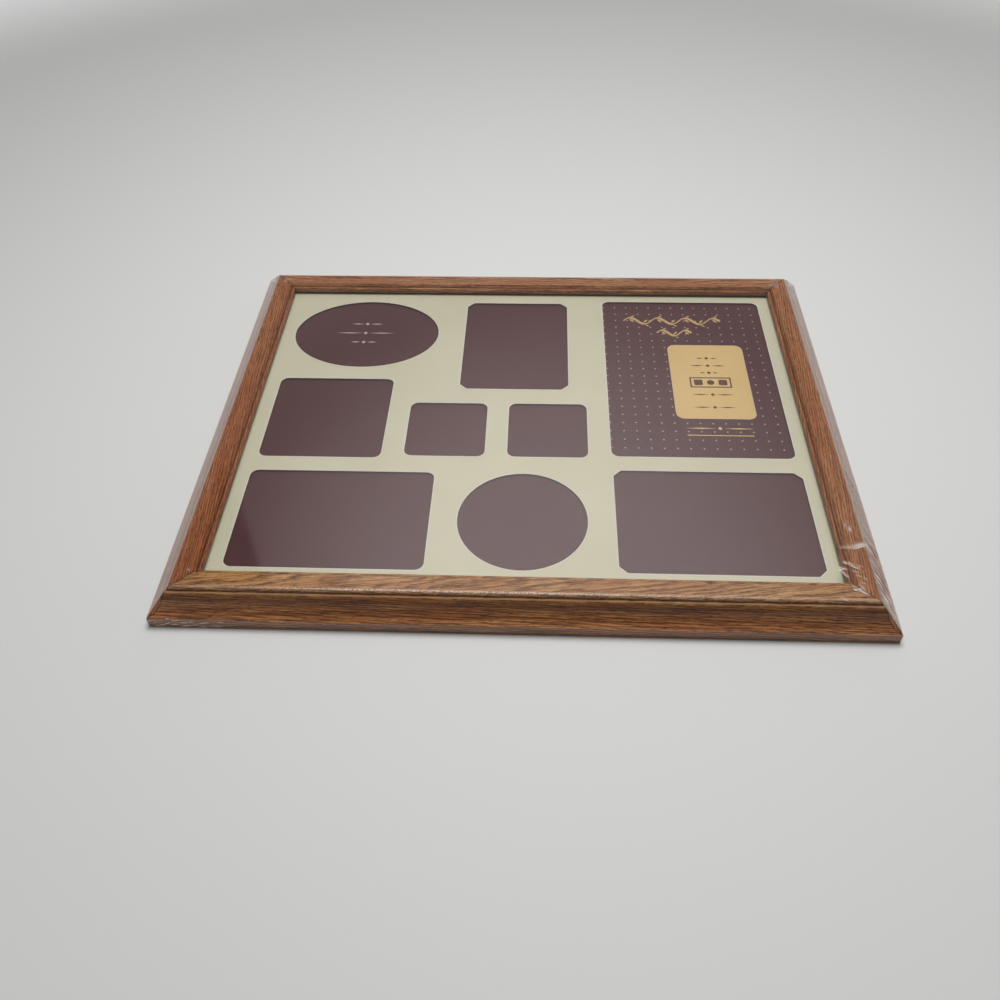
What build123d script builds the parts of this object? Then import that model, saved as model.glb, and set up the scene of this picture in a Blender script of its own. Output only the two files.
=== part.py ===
from build123d import *
from math import sqrt
import os

# Collage picture frame in oak, lying on its back as on a table, still in its clear film.
# X runs to the right of the picture, Y to its top and Z out of its front. The origin is
# on the table, under the middle of the frame. Lengths are in millimetres.
os.makedirs("parts", exist_ok=True)

# Stack of sheets in the rebate, 14 by 11 inches each, from the front to the back, and
# the recess that is left behind them
sheet_length = 355.6
sheet_width = 279.4
sheet_gap = 0.6
lip_cover = 6.35
glass_thickness = 2.0
mat_thickness = 1.4
print_thickness = 0.3
pad_thickness = 2.0
board_thickness = 2.5
recess_depth = 6.1

# Oak moulding, from the sight edge outward, with its rise above the glass and the small
# upright below its outer bead
moulding_width = 25.4
moulding_rise = 5.3
quirk_height = 0.25

# Points of the moulding's section from the lip to the flat: shares of its width and of
# its rise above the glass
lip_edge_shares = (0, 0.396)
small_bead_shares = (0.0413, 0.594)
small_bead_end_shares = (0.0728, 0.523)
groove_shares = (0.09, 0.509)
flat_shares = (0.14, 0.925)

# Outer bead: the place of its centre and its radius as shares of the moulding's width
bead_centre_share = 0.496
bead_radius_share = 0.079

# Points of the outer face: shares of the moulding's width and of its whole height
ledge_share = 0.606
shoulder_shares = (0.693, 0.781)
cove_shares = (0.748, 0.551)
foot_shares = (0.874, 0.357)
base_edge_share = 0.321

# Windows of the mat: shape, centre and size, all as shares of the sight opening's length
# and width. A round window takes its diameter from the last share alone.
window_corner = 5.0
window_clip = 4.6
window_shares = (
    ("oval", -0.328, 0.3234, 0.2931, 0.2831),
    ("clipped", -0.0232, 0.2831, 0.2079, 0.3630),
    ("rounded", 0.3158, 0.1723, 0.3225, 0.6070),
    ("rounded", -0.3642, -0.0060, 0.2193, 0.2820),
    ("rounded", -0.1423, -0.0457, 0.1441, 0.1852),
    ("rounded", 0.0417, -0.0446, 0.1441, 0.1852),
    ("rounded", -0.3155, -0.3333, 0.3225, 0.2827),
    ("round", 0.0006, -0.3313, 0.2790, 0.2790),
    ("clipped", 0.3176, -0.3243, 0.3243, 0.2955),
)

# Flexible steel tabs: a leaf under the backing board and a point driven into the oak
tab_width = 6.4
tab_reach = 10.5
tab_thickness = 0.45
tab_gap = 0.05
tab_corner = 1.2
tab_hole = 2.0
tab_point = 5.0
tab_point_share = 0.5
tab_place_share = 0.3
tab_places = {
    "top_left": ("top", -1),
    "top_right": ("top", 1),
    "bottom_left": ("bottom", -1),
    "bottom_right": ("bottom", 1),
    "left_lower": ("left", -1),
    "left_upper": ("left", 1),
    "right_lower": ("right", -1),
    "right_upper": ("right", 1),
}

# Angle nails driven into each mitre from behind, at shares of the moulding's width
nail_arm = 4.5
nail_thickness = 0.5
nail_height = 6.0
nail_place_shares = (0.45, 0.75)

# Sawtooth hangers: a strip whose middle stands off the board, with teeth on its lower
# edge, and its edge's distance from the rebate wall
hanger_length = 46.0
hanger_width = 9.0
hanger_thickness = 0.7
hanger_lift = 1.3
hanger_end = 9.0
hanger_ramp = 2.5
hanger_inset = 14.0
tooth_pitch = 2.8
tooth_depth = 1.5

# Rivets through each end of a hanger and the board
rivet_radius = 1.5
rivet_head_radius = 2.6
rivet_head_height = 0.9
rivet_tail_height = 0.6
rivet_gap = 0.05

# Clear film: sides from the crowns of the beads down to a hem turned under the back
film_thickness = 0.2
film_gap = 0.15
hem_width = 6.0

# Sizes that follow from the ones above
rebate_out = lip_cover + sheet_gap
sight_length = sheet_length - 2 * lip_cover
sight_width = sheet_width - 2 * lip_cover
back_level = film_thickness
board_level = back_level + recess_depth
pad_level = board_level + board_thickness
print_level = pad_level + pad_thickness
mat_level = print_level + print_thickness
glass_level = mat_level + mat_thickness
lip_height = glass_level + glass_thickness - back_level
moulding_height = lip_height + moulding_rise
bead_centre = bead_centre_share * moulding_width
bead_radius = bead_radius_share * moulding_width
up = Vector(0, 0, 1)
sides = {
    "top": Vector(0, 1, 0),
    "bottom": Vector(0, -1, 0),
    "left": Vector(-1, 0, 0),
    "right": Vector(1, 0, 0),
}


def lip_point(shares):
    """A point of the section between the lip and the flat."""
    return (shares[0] * moulding_width, lip_height + shares[1] * moulding_rise)


def face_point(shares):
    """A point of the section's outer face."""
    return (shares[0] * moulding_width, shares[1] * moulding_height)


def half_spans(out):
    """Half the sight opening across a side and along it, for the side that faces out."""
    if out.X:
        return sight_length / 2, sight_width / 2
    return sight_width / 2, sight_length / 2


def mitred_length(section, out):
    """A section run along one side of the frame and cut at 45 degrees at both ends."""
    across, along = half_spans(out)
    run = up.cross(out)
    middle = out * across + up * back_level
    with BuildPart() as length:
        with BuildSketch(Plane(origin=middle, x_dir=out, z_dir=out.cross(up))):
            add(section)
        extrude(amount=along + 2 * moulding_width, both=True)
        for end in (-1, 1):
            corner = out * across + run * (end * along)
            split(bisect_by=Plane(origin=corner, z_dir=out - run * end), keep=Keep.TOP)
    return length.part


def tab_plane(side, sign):
    """Where a tab leaves the rebate wall: x runs inward under the board, z away from it."""
    out = sides[side]
    across, along = half_spans(out)
    run = Vector(abs(out.Y), abs(out.X), 0)
    place = out * (across + rebate_out) + run * (sign * 2 * along * tab_place_share)
    return Plane(origin=place + up * board_level, x_dir=out * -1, z_dir=up * -1)


def clipped_corners(length, width, clip):
    """Corner points of a rectangle with its corners cut off."""
    x, y = length / 2, width / 2
    return (
        (x, y - clip), (x - clip, y), (clip - x, y), (-x, y - clip),
        (-x, clip - y), (clip - x, -y), (x - clip, -y), (x, clip - y),
    )


def save(piece, name):
    """Name a finished piece and write it to its file."""
    piece.part.label = name
    export_step(piece.part, f"parts/{name}.step")


# Section of the moulding: x runs outward from the sight edge, y up from its back
flat_start = lip_point(flat_shares)
bead_rise = flat_start[1] - (moulding_height - bead_radius)
flat_end = (bead_centre - sqrt(bead_radius**2 - bead_rise**2), flat_start[1])
bead_end = (bead_centre + bead_radius, moulding_height - bead_radius)
ledge_height = bead_end[1] - quirk_height
shoulder = face_point(shoulder_shares)
base_edge = (moulding_width, base_edge_share * moulding_height)
with BuildSketch() as moulding_section:
    with BuildLine():
        Polyline((rebate_out, lip_height), (0, lip_height), lip_point(lip_edge_shares))
        ThreePointArc(
            lip_point(lip_edge_shares),
            lip_point(small_bead_shares),
            lip_point(small_bead_end_shares),
        )
        Polyline(lip_point(small_bead_end_shares), lip_point(groove_shares), flat_start, flat_end)
        ThreePointArc(flat_end, (bead_centre, moulding_height), bead_end)
        Polyline(
            bead_end,
            (bead_end[0], ledge_height),
            (ledge_share * moulding_width, ledge_height),
            shoulder,
        )
        ThreePointArc(shoulder, face_point(cove_shares), face_point(foot_shares))
        Polyline(
            face_point(foot_shares),
            base_edge,
            (moulding_width, 0),
            (rebate_out, 0),
            (rebate_out, lip_height),
        )
    make_face()

# Angle nails in the mitres, flush with the back of the moulding
with BuildPart() as corner_nails:
    for share in nail_place_shares:
        tip_x = sight_length / 2 + share * moulding_width
        tip_y = sight_width / 2 + share * moulding_width
        with BuildSketch(Plane.XY.offset(back_level)):
            with BuildLine():
                Polyline(
                    (tip_x, tip_y),
                    (tip_x - nail_arm, tip_y),
                    (tip_x - nail_arm, tip_y - nail_thickness),
                    (tip_x - nail_thickness, tip_y - nail_thickness),
                    (tip_x - nail_thickness, tip_y - nail_arm),
                    (tip_x, tip_y - nail_arm),
                    close=True,
                )
            make_face()
        extrude(amount=nail_height)
    mirror(about=Plane.YZ)
    mirror(about=Plane.XZ)
save(corner_nails, "corner_nails")

# Points of the tabs, driven into the rebate walls level with the back of the board
with BuildPart() as tab_points:
    for side, sign in tab_places.values():
        neck = -tab_point * tab_point_share
        with BuildSketch(tab_plane(side, sign)):
            with BuildLine():
                Polyline(
                    (0, -tab_width / 2),
                    (0, tab_width / 2),
                    (neck, tab_width / 2),
                    (-tab_point, 0),
                    (neck, -tab_width / 2),
                    close=True,
                )
            make_face()
        extrude(amount=tab_thickness)
save(tab_points, "tab_points")

# Leaves of the tabs, lying on the back of the board
for name, (side, sign) in tab_places.items():
    with BuildPart() as tab:
        with BuildSketch(tab_plane(side, sign)) as leaf:
            with Locations(((tab_gap + tab_reach) / 2, 0)):
                Rectangle(tab_reach - tab_gap, tab_width)
            fillet(leaf.vertices().sort_by(Axis.X)[-2:], tab_corner)
            with Locations((tab_reach - tab_width / 2, 0)):
                Circle(tab_hole / 2, mode=Mode.SUBTRACT)
        extrude(amount=tab_thickness)
    save(tab, f"tab_{name}")

# Four lengths of moulding, with slots for the tabs' points and the angle nails
for side, out in sides.items():
    with BuildPart() as rail:
        add(mitred_length(moulding_section.sketch, out))
        add(tab_points.part, mode=Mode.SUBTRACT)
        add(corner_nails.part, mode=Mode.SUBTRACT)
    save(rail, f"rail_{side}")

# Plain sheets: the glass under the lip, the printed sheet that shows in the windows and
# the pad that fills the rebate behind it
plain_sheets = {
    "glass_pane": (glass_level, glass_thickness),
    "print_sheet": (print_level, print_thickness),
    "filler_pad": (pad_level, pad_thickness),
}
for name, (level, thickness) in plain_sheets.items():
    with BuildPart() as sheet:
        with BuildSketch(Plane.XY.offset(level)):
            Rectangle(sheet_length, sheet_width)
        extrude(amount=thickness)
    save(sheet, name)

# Mat with its nine windows
with BuildPart() as mat_board:
    with BuildSketch(Plane.XY.offset(mat_level)):
        Rectangle(sheet_length, sheet_width)
        for shape, x_share, y_share, length_share, width_share in window_shares:
            length = length_share * sight_length
            width = width_share * sight_width
            with Locations((x_share * sight_length, y_share * sight_width)):
                if shape == "oval":
                    Ellipse(length / 2, width / 2, mode=Mode.SUBTRACT)
                elif shape == "round":
                    Circle(width / 2, mode=Mode.SUBTRACT)
                elif shape == "rounded":
                    RectangleRounded(length, width, window_corner, mode=Mode.SUBTRACT)
                else:
                    corners = clipped_corners(length, width, window_clip)
                    Polygon(*corners, align=None, mode=Mode.SUBTRACT)
    extrude(amount=mat_thickness)
save(mat_board, "mat_board")

# Hangers lie on the back of the board: x along the strip, y towards the frame's edge
wall_x = sight_length / 2 + rebate_out
wall_y = sight_width / 2 + rebate_out
hanger_planes = {
    "wide": Plane(origin=(0, wall_y - hanger_inset, board_level), x_dir=(-1, 0, 0), z_dir=up * -1),
    "tall": Plane(origin=(hanger_inset - wall_x, 0, board_level), x_dir=(0, -1, 0), z_dir=up * -1),
}
rivet_out = (hanger_length - hanger_end) / 2
rivet_places = []
for plane in hanger_planes.values():
    rivet_places.append(plane.from_local_coords((-rivet_out, 0, 0)))
    rivet_places.append(plane.from_local_coords((rivet_out, 0, 0)))

# Two sawtooth hangers, one for each way up
ramp_start = hanger_length / 2 - hanger_end
ramp_end = ramp_start - hanger_ramp
tooth_count = int(2 * ramp_end / tooth_pitch)
for name, plane in hanger_planes.items():
    side_view = Plane(origin=plane.origin, x_dir=plane.x_dir, z_dir=plane.y_dir * -1)
    with BuildPart() as hanger:
        with BuildSketch(side_view):
            with BuildLine():
                Polyline(
                    (-hanger_length / 2, 0),
                    (-ramp_start, 0),
                    (-ramp_end, hanger_lift),
                    (ramp_end, hanger_lift),
                    (ramp_start, 0),
                    (hanger_length / 2, 0),
                    (hanger_length / 2, hanger_thickness),
                    (ramp_start, hanger_thickness),
                    (ramp_end, hanger_lift + hanger_thickness),
                    (-ramp_end, hanger_lift + hanger_thickness),
                    (-ramp_start, hanger_thickness),
                    (-hanger_length / 2, hanger_thickness),
                    close=True,
                )
            make_face()
        extrude(amount=hanger_width / 2, both=True)
        with BuildSketch(plane):
            with Locations((0, -hanger_width / 2)):
                with GridLocations(tooth_pitch, 0, tooth_count, 1):
                    Polygon(
                        (-tooth_pitch / 2, 0),
                        (tooth_pitch / 2, 0),
                        (0, tooth_depth),
                        align=None,
                    )
            with Locations((-rivet_out, 0), (rivet_out, 0)):
                Circle(rivet_radius + rivet_gap)
        extrude(amount=hanger_lift + 2 * hanger_thickness, mode=Mode.SUBTRACT)
    save(hanger, f"hanger_{name}")

# Backing board, with holes for the rivets sunk at its front for their tails
with BuildPart() as backing_board:
    with BuildSketch(Plane.XY.offset(board_level)):
        Rectangle(sheet_length, sheet_width)
    extrude(amount=board_thickness)
    for place in rivet_places:
        with Locations(Plane(origin=(place.X, place.Y, pad_level))):
            CounterBoreHole(
                rivet_radius + rivet_gap,
                rivet_head_radius + rivet_gap,
                rivet_tail_height,
            )
save(backing_board, "backing_board")

# Rivets, with a domed head on the strip and a flat tail sunk in the board
head_level = board_level - hanger_thickness
with BuildPart() as hanger_rivets:
    for place in rivet_places:
        with BuildSketch(Plane(origin=(place.X, place.Y, 0), x_dir=(1, 0, 0), z_dir=(0, -1, 0))):
            with BuildLine():
                ThreePointArc(
                    (0, head_level - rivet_head_height),
                    (rivet_head_radius / sqrt(2), head_level - rivet_head_height / sqrt(2)),
                    (rivet_head_radius, head_level),
                )
                Polyline(
                    (rivet_head_radius, head_level),
                    (rivet_radius, head_level),
                    (rivet_radius, pad_level - rivet_tail_height),
                    (rivet_head_radius, pad_level - rivet_tail_height),
                    (rivet_head_radius, pad_level),
                    (0, pad_level),
                    (0, head_level - rivet_head_height),
                )
            make_face()
        revolve(axis=Axis((place.X, place.Y, 0), (0, 0, 1)))
save(hanger_rivets, "hanger_rivets")


def film_points(clear):
    """The film's bends over the moulding, clear of the oak by the distance given."""
    bead_bend = (sqrt(2) - 1) * (bead_radius + clear)
    return [
        (bead_centre, moulding_height + clear),
        (bead_centre + bead_bend, moulding_height + clear),
        (shoulder[0] + clear, shoulder[1] + clear),
        (base_edge[0] + clear, base_edge[1] + clear),
    ]


# Section of the film's sides, from the crown of the bead round to the hem
film_out = film_gap + film_thickness
hem_edge = moulding_width - hem_width
with BuildSketch() as film_section:
    with BuildLine():
        inside = film_points(film_gap) + [(moulding_width + film_gap, 0), (hem_edge, 0)]
        outside = film_points(film_out)
        outside += [(moulding_width + film_out, -film_thickness), (hem_edge, -film_thickness)]
        Polyline(*inside, *reversed(outside), close=True)
    make_face()

for side, out in sides.items():
    with BuildPart() as film_side:
        add(mitred_length(film_section.sketch, out))
    save(film_side, f"film_{side}")
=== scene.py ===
import math
import random

import bpy
import numpy as np
from mathutils import Euler, Matrix, Vector


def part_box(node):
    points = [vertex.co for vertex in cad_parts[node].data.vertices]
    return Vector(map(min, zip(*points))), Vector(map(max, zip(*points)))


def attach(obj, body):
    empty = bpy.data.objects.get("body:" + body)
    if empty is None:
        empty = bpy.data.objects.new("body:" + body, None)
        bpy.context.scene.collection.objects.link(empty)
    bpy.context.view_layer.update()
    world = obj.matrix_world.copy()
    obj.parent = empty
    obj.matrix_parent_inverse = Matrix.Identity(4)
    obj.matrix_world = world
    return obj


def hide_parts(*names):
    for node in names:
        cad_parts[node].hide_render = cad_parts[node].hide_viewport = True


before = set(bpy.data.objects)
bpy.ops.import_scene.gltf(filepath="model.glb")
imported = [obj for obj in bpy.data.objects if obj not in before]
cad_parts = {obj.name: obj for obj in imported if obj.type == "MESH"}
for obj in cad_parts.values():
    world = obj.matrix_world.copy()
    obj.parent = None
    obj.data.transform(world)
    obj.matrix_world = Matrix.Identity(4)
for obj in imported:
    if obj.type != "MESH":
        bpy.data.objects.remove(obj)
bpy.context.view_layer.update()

# Collage picture frame in stained oak, lying on its back in its clear film. The frame gives
# every place in metres; the sizes below are in millimetres, and MM turns them into metres.
# A value named RANGE is eased from its first number to its second, and where it has four,
# the result goes from the third to the fourth.
MM = 0.001
BODY = "frame"
SIDES = ("top", "bottom", "left", "right")
CORNERS = ((-1, -1), (1, -1), (1, 1), (-1, 1))

# Camera of the photograph: where it stands, where it looks and how it is rolled
CAMERA_PLACE = (7.7, -447.4, 404.9)
CAMERA_HEADING = 3.18
CAMERA_DOWN = 46.31
CAMERA_ROLL = -1.32
CAMERA_NEAR = 0.01
IMAGE_SIDE = 1000
FOCAL_PIXELS = 936.7
SENSOR = 36.0


def srgb(red, green, blue):
    """A colour seen on a screen, 0 to 255, as the linear colour that a shader takes."""
    linear = []
    for value in (red, green, blue):
        share = value / 255
        low = share <= 0.04045
        linear.append(share / 12.92 if low else ((share + 0.055) / 1.055) ** 2.4)
    return (*linear, 1.0)


# Building blocks for materials

# sockets of the Mix node when it blends colours
MIX_SHARE, MIX_FIRST, MIX_SECOND, MIX_RESULT = 0, 6, 7, 2


def start_material(name):
    """An empty node material and its tree."""
    material = bpy.data.materials.new(name)
    material.use_nodes = True
    material.node_tree.nodes.clear()
    return material, material.node_tree


def feed(tree, socket, value):
    """Link a socket to another node's output, or set it to a plain value."""
    if isinstance(value, bpy.types.NodeSocket):
        tree.links.new(value, socket)
    else:
        socket.default_value = value


def add_node(tree, kind, sockets=None, **settings):
    """A shader node with its settings made and its sockets fed."""
    made = tree.nodes.new("ShaderNode" + kind)
    for key, value in settings.items():
        setattr(made, key, value)
    for key, value in (sockets or {}).items():
        feed(tree, made.inputs[key], value)
    return made


def maths(tree, operation, *values, clamp=False):
    """One step of arithmetic on plain values or outputs."""
    made = add_node(tree, "Math", operation=operation, use_clamp=clamp)
    for socket, value in zip(made.inputs, values):
        feed(tree, socket, value)
    return made.outputs[0]


def off(tree, value, middle):
    """How far a value lies from a middle, on either side."""
    return maths(tree, "ABSOLUTE", maths(tree, "SUBTRACT", value, middle))


def split(tree, vector):
    """The three axes of a vector."""
    return add_node(tree, "SeparateXYZ", {0: vector}).outputs


def stretch(tree, vector, scale, turn=0.0, shift=(0, 0, 0)):
    """Coordinates scaled, then turned about Z and moved."""
    sockets = {"Vector": vector, "Scale": scale, "Rotation": (0, 0, turn), "Location": shift}
    return add_node(tree, "Mapping", sockets).outputs[0]


def noise(tree, vector, scale=1.0, detail=2.0, roughness=0.5, distortion=0.0):
    """Smooth noise from about 0.25 to 0.75."""
    sockets = {
        "Vector": vector,
        "Scale": scale,
        "Detail": detail,
        "Roughness": roughness,
        "Distortion": distortion,
    }
    return add_node(tree, "TexNoise", sockets).outputs["Fac"]


def grain_noise(tree, vector, scales, shift=(0, 0, 0), **looks):
    """Noise with its own scale along each axis."""
    return noise(tree, stretch(tree, vector, scales, 0.0, shift), **looks)


def between(tree, value, low, high, to_low=0.0, to_high=1.0):
    """Value eased from low to high onto another range."""
    sockets = {0: value, 1: low, 2: high, 3: to_low, 4: to_high}
    made = add_node(tree, "MapRange", sockets, interpolation_type="SMOOTHSTEP")
    return made.outputs[0]


def blend_colours(tree, share, first, second, blend="MIX"):
    """Two colours blended by a share."""
    made = add_node(tree, "Mix", data_type="RGBA", blend_type=blend)
    feed(tree, made.inputs[MIX_SHARE], share)
    feed(tree, made.inputs[MIX_FIRST], first)
    feed(tree, made.inputs[MIX_SECOND], second)
    return made.outputs[MIX_RESULT]


def place_in_frame(tree):
    """Coordinates in the frame of the object, in millimetres."""
    here = add_node(tree, "TexCoord").outputs["Object"]
    return stretch(tree, here, (1 / MM, 1 / MM, 1 / MM))


def at_points(tree, name):
    """A number that the mesh keeps at its points."""
    return add_node(tree, "Attribute", attribute_name=name).outputs["Fac"]


def bump(tree, height, depth):
    """A normal roughened by a height of 0 to 1 that stands for a depth in millimetres."""
    sockets = {"Height": height, "Distance": depth * MM, "Strength": 1.0}
    return add_node(tree, "Bump", sockets).outputs[0]


def finish_material(tree, sockets):
    """A Principled shader as the material's surface."""
    shader = add_node(tree, "BsdfPrincipled", sockets)
    add_node(tree, "OutputMaterial", {"Surface": shader.outputs[0]})


def ray_kinds(tree):
    """Whether a ray comes from the camera, and whether from a mirror or a clear piece."""
    rays = add_node(tree, "LightPath").outputs
    mirrored = maths(tree, "MAXIMUM", rays["Is Glossy Ray"], rays["Is Transmission Ray"])
    return rays["Is Camera Ray"], mirrored


# Oak

OAK_GOLD = srgb(202, 138, 82)
OAK_ROSE = srgb(192, 118, 66)
OAK_BROWN = srgb(150, 86, 42)
OAK_DARK = srgb(84, 38, 13)
# dark pores and mitre glue, also the painted shade in the grooves and under the ledge
OAK_PORE_AND_SHADE = srgb(54, 24, 9)
# painted highlight on the ledge's edge
OAK_HIGHLIGHT = srgb(216, 166, 126)
# growth rings: how far the pith wanders, leans aside and dips for each step along the rail,
# how far below the face it lies, and how wide a ring is
OAK_WANDER = 7.0
OAK_TILT = 0.03
OAK_DIP = 0.04
OAK_PITH_DEPTH = 46.0
OAK_RING = 1.5
EARLY_START_RANGE = (0.0, 0.15)
EARLY_END_RANGE = (0.25, 0.8, 1.0, 0.0)
# noises in the wood, along the grain and across it
WANDER_NOISE = {"scales": (1 / 70, 1 / 14, 1 / 14), "detail": 3.0}
STREAK_NOISE = {
    "scales": (1 / 36, 1.5, 1.5),
    "shift": (2, 5, 9),
    "detail": 4.0,
    "roughness": 0.7,
}
FIBRE_NOISE = {
    "scales": (0.13, 1.7, 1.7),
    "shift": (5, 11, 2),
    "detail": 4.0,
    "roughness": 0.7,
}
PORE_NOISE = {"scales": (0.22, 3.0, 3.0), "shift": (31, 7, 3), "detail": 2.0}
CLOUD_NOISE = {"scales": (1 / 50, 1 / 12, 1 / 12), "shift": (8, 3, 4), "detail": 1.0}
# what darkens the wood: early wood, streaks (more on the slopes than on the top) and fibres
OAK_RING_SHARE = 0.24
STREAK_RANGE = (0.41, 0.61)
STREAK_SHARE_RANGE = (0.0, 1.0, 0.56, 0.32)
FIBRE_RANGE = (0.36, 0.7, 0.0, 0.40)
OAK_CLOUD_RANGE = (0.35, 0.65)
BROWN_RANGE = (0.1, 0.6)
DARK_RANGE = (0.5, 1.1)
PORES_IN_EARLY = 0.09
PORE_RANGE = (0.58, 0.70)
PORE_STAIN = 0.75
OAK_FIBRE_HEIGHT = 0.4
OAK_PORE_DEPTH = 0.06
OAK_ROUGHNESS_RANGE = (0.0, 1.0, 0.44, 0.65)
MITRE_LINE_RANGE = (0.2, 0.6, 0.85, 0.0)
# where the sight edge and the mitres lie
top_low, top_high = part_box("rail_top")
SIGHT_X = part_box("rail_right")[0].x / MM
SIGHT_Y = top_low.y / MM
MITRE_SHIFT = (top_high.x - top_high.y) / MM
# places across the moulding, out from the sight edge, where shade is painted into a groove
# or a highlight onto an edge: the middle, half the width, the strength and the colour of each
PAINTED_LIGHT_BANDS = (
    (2.2, 0.55, 0.6, OAK_PORE_AND_SHADE),
    (14.75, 0.5, 0.5, OAK_PORE_AND_SHADE),
    (16.9, 1.3, 0.35, OAK_PORE_AND_SHADE),
    (15.55, 0.4, 0.65, OAK_HIGHLIGHT),
)
# how high the rail's top begins, with its leaning grain
TOP_FROM = 16.2
TOP_TO = 16.6
# each rail is cut from its own stretch of a board and its grain leans in its own way; its
# slope and its top are tinted as painted light: the tops of the far and near rails lighter
# and greyer as a painted sheen, the side rails darker as painted shade, the left one most
RAIL_SHIFTS = {
    "top": (0, -190, 0),
    "bottom": (730, 190, 5),
    "left": (-410, -172, 9),
    "right": (1500, 185, 3),
}
RAIL_LEANS = {"top": 0.03, "bottom": -0.13, "left": -0.09, "right": 0.04}
RAIL_LIGHT_TINTS = {
    "top": ((0.98, 1.02, 1.08, 1), (1.02, 1.22, 1.70, 1)),
    "bottom": ((1.04, 1.12, 0.92, 1), (1.08, 1.48, 1.75, 1)),
    "left": ((0.82, 0.76, 0.74, 1), (0.85, 0.80, 0.82, 1)),
    "right": ((0.88, 0.90, 0.92, 1), (0.90, 0.94, 1.00, 1)),
}


def early_wood(tree, wood):
    """Share of porous early wood, from the growth rings round the pith."""
    along, side, depth = split(tree, wood)
    wander = maths(tree, "SUBTRACT", grain_noise(tree, wood, **WANDER_NOISE), 0.5)
    side = maths(tree, "MULTIPLY_ADD", along, OAK_TILT, side)
    depth = maths(tree, "MULTIPLY_ADD", along, OAK_DIP, depth)
    depth = maths(tree, "ADD", depth, OAK_PITH_DEPTH)
    radius = maths(tree, "ADD",
        maths(tree, "MULTIPLY", side, side), maths(tree, "MULTIPLY", depth, depth))
    radius = maths(tree, "ADD",
        maths(tree, "SQRT", radius), maths(tree, "MULTIPLY", wander, OAK_WANDER))
    ring = maths(tree, "FRACT", maths(tree, "DIVIDE", radius, OAK_RING))
    return maths(tree, "MULTIPLY",
        between(tree, ring, *EARLY_START_RANGE), between(tree, ring, *EARLY_END_RANGE))


def glue_and_paint_light(tree, place, colour):
    """Dark glue in the mitres, painted shade in grooves and a painted highlight on an edge."""
    far_x, far_y = (maths(tree, "ABSOLUTE", axis) for axis in split(tree, place)[:2])
    off_mitre = off(tree, maths(tree, "SUBTRACT", far_x, far_y), MITRE_SHIFT)
    glue = between(tree, off_mitre, *MITRE_LINE_RANGE)
    colour = blend_colours(tree, glue, colour, OAK_PORE_AND_SHADE)
    across = maths(tree, "MAXIMUM",
        maths(tree, "SUBTRACT", far_x, SIGHT_X), maths(tree, "SUBTRACT", far_y, SIGHT_Y))
    for middle, half, strength, band_colour in PAINTED_LIGHT_BANDS:
        share = between(tree, off(tree, across, middle), half / 2, half, strength, 0.0)
        colour = blend_colours(tree, share, colour, band_colour)
    return colour


def oak(name, turn, shift, lean, tint, top_light_tint):
    """Stained and lacquered open-pored oak, its grain along one rail. On the rail's top
    the grain leans across by a share of the length. The slope and the top are tinted apart,
    as painted light and shade."""
    material, tree = start_material(name)
    place = place_in_frame(tree)
    along, side, depth = split(tree, stretch(tree, place, (1, 1, 1), turn, shift))
    on_top = between(tree, depth, TOP_FROM + shift[2], TOP_TO + shift[2])
    side = maths(tree, "MULTIPLY_ADD", along, maths(tree, "MULTIPLY", on_top, lean), side)
    wood = add_node(tree, "CombineXYZ", {0: along, 1: side, 2: depth}).outputs[0]
    early = early_wood(tree, wood)
    # streaks along the grain, and pores: short dark dashes, thickest in the early wood
    streaks = grain_noise(tree, wood, **STREAK_NOISE)
    fibres = grain_noise(tree, wood, **FIBRE_NOISE)
    clouds = grain_noise(tree, wood, **CLOUD_NOISE)
    pores = grain_noise(tree, wood, **PORE_NOISE)
    pores = maths(tree, "MULTIPLY_ADD", early, PORES_IN_EARLY, pores)
    pores = between(tree, pores, *PORE_RANGE)
    # colour, from light late wood to dark early wood
    tone = maths(tree, "MULTIPLY", early, OAK_RING_SHARE)
    streak_share = between(tree, on_top, *STREAK_SHARE_RANGE)
    tone = maths(tree, "ADD", tone, between(tree, streaks, *STREAK_RANGE, 0.0, streak_share))
    tone = maths(tree, "ADD", tone, between(tree, fibres, *FIBRE_RANGE))
    colour = blend_colours(tree, between(tree, clouds, *OAK_CLOUD_RANGE), OAK_GOLD, OAK_ROSE)
    colour = blend_colours(tree, between(tree, tone, *BROWN_RANGE), colour, OAK_BROWN)
    colour = blend_colours(tree, between(tree, tone, *DARK_RANGE), colour, OAK_DARK)
    colour = blend_colours(tree, maths(tree, "MULTIPLY", pores, PORE_STAIN), colour, OAK_PORE_AND_SHADE)
    # the slope's and the top's tints: painted light and shade
    light_tints = blend_colours(tree, on_top, tint, top_light_tint)
    colour = blend_colours(tree, 1.0, colour, light_tints, "MULTIPLY")
    height = maths(tree, "SUBTRACT", maths(tree, "MULTIPLY", fibres, OAK_FIBRE_HEIGHT), pores)
    finish_material(tree, {
        "Base Color": glue_and_paint_light(tree, place, colour),
        "Roughness": between(tree, pores, *OAK_ROUGHNESS_RANGE),
        "Normal": bump(tree, height, OAK_PORE_DEPTH),
        "Specular IOR Level": 0.42,
        "Coat Weight": 0.1,
        "Coat Roughness": 0.2,
    })
    return material


# Card, paper, board and metal

CARD_FIBRE_RANGE = (0.3, 0.75, 0.0, 0.55)
CARD_CLOUD_RANGE = (0.35, 0.7, 0.0, 0.45)
CARD_CLOUDS = (1 / 45, 1 / 45, 1 / 45)
# a fibre's width beside its length, and the range of the normal's Z in which a cut edge ends
CARD_FIBRE_SHAPE = 0.7
CUT_EDGE_RANGE = (0.3, 0.6, 1.0, 0.0)
BOARD_BROWN = srgb(132, 96, 66)
BOARD_DARK = srgb(92, 62, 40)
BOARD_LIGHT = srgb(164, 128, 94)
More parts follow.
